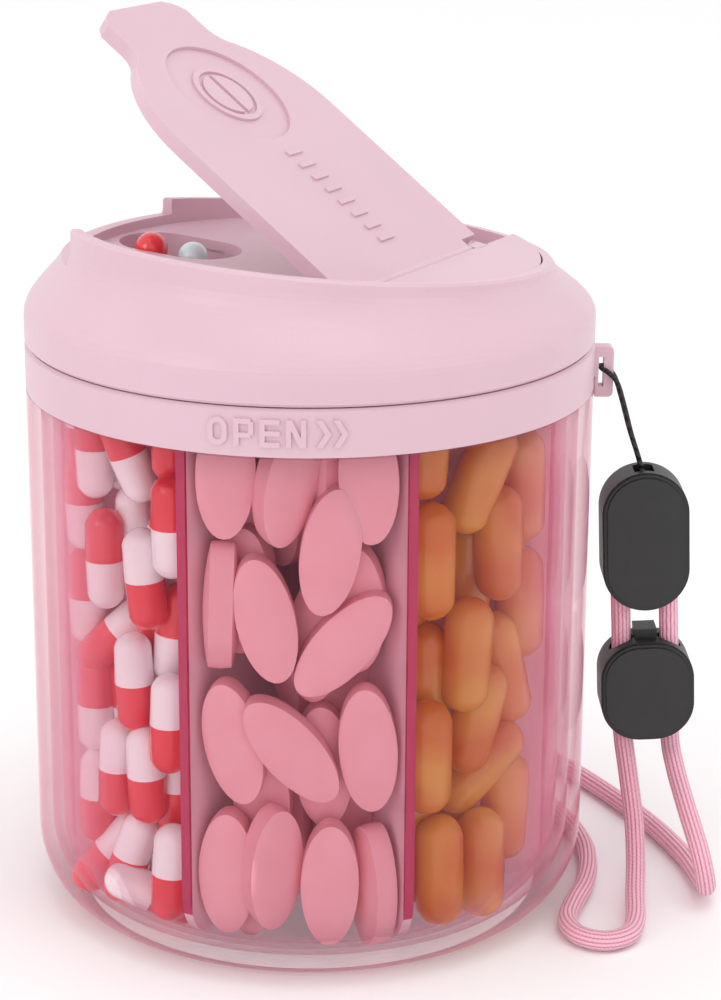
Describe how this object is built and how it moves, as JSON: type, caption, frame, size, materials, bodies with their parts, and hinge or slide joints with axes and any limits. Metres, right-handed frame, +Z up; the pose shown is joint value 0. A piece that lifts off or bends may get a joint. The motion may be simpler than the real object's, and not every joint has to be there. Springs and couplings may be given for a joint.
{
  "type": "pill organizer",
  "caption": "Round clear jar with wedge compartments for pills, under a turning dispenser cap with a flip lid and a braided wrist lanyard.",
  "frame": {"origin": "centre of the flat base face", "axes": "+Z up along the jar's axis, -Y towards the raised word on the collar, +X towards the strap loop"},
  "size_m": [0.1113, 0.1094, 0.1415],
  "materials": {
    "clear_pink": "clear tinted plastic, polished",
    "clear_liner": "clear tinted plastic, polished",
    "divider_pink": "satin moulded plastic",
    "gasket": "soft matt",
    "cap_pink": "fine satin moulded plastic",
    "ring_plastic": "plain moulded plastic",
    "plug_soft": "soft matt",
    "pin_metal": "drawn wire",
    "black_string": "tight waxed string",
    "black_plastic": "fine matt moulded plastic",
    "pink_braid": "braided cord with lengthwise ribs"
  },
  "bodies": {
    "jar": {"container_shell": "clear_pink", "compartment_liner": "clear_liner", "divider_star": "divider_pink"},
    "cap_lift": {"gasket_ring": "gasket"},
    "collar": {"collar": "cap_pink", "string_loop": "black_string", "connector_front_shell": "black_plastic", "connector_back_shell": "black_plastic", "connector_pin": "pin_metal", "cord_clamp": "pin_metal", "lanyard_cord": "pink_braid"},
    "dome": {"dome_shell": "cap_pink", "dispensing_deck": "cap_pink", "retaining_ring": "ring_plastic", "hinge_panel": "cap_pink", "hinge_pin": "pin_metal"},
    "lid": {"flip_lid": "cap_pink", "mouth_plug": "plug_soft"},
    "adjuster": {"adjuster_front_shell": "black_plastic", "adjuster_back_shell": "black_plastic", "adjuster_grip": "black_plastic"}
  },
  "joints": [
    {"name": "cap_rise", "type": "slide", "parent": "jar", "child": "cap_lift", "axis": [0, 0, 1], "range_m": [0, 0.0045]},
    {"name": "collar_turn", "type": "hinge", "parent": "cap_lift", "child": "collar", "pos_m": [0, 0, 0.09], "axis": [0, 0, 1], "range_deg": [0, 60]},
    {"name": "dome_turn", "type": "hinge", "parent": "collar", "child": "dome", "pos_m": [0, 0, 0.1], "axis": [0, 0, 1], "continuous": true},
    {"name": "lid_flip", "type": "hinge", "parent": "dome", "child": "lid", "pos_m": [0.01608, -0.00993, 0.104], "axis": [0.5255, 0.8508, 0], "range_deg": [-31.4, 62]},
    {"name": "adjuster_slide", "type": "slide", "parent": "collar", "child": "adjuster", "axis": [-0.0454, 0, 0.999], "range_m": [0, 0.0034]}
  ],
  "couplings": [
    {"joint": "collar_turn", "follows": "cap_rise", "rad_per_m": 232.71}
  ]
}
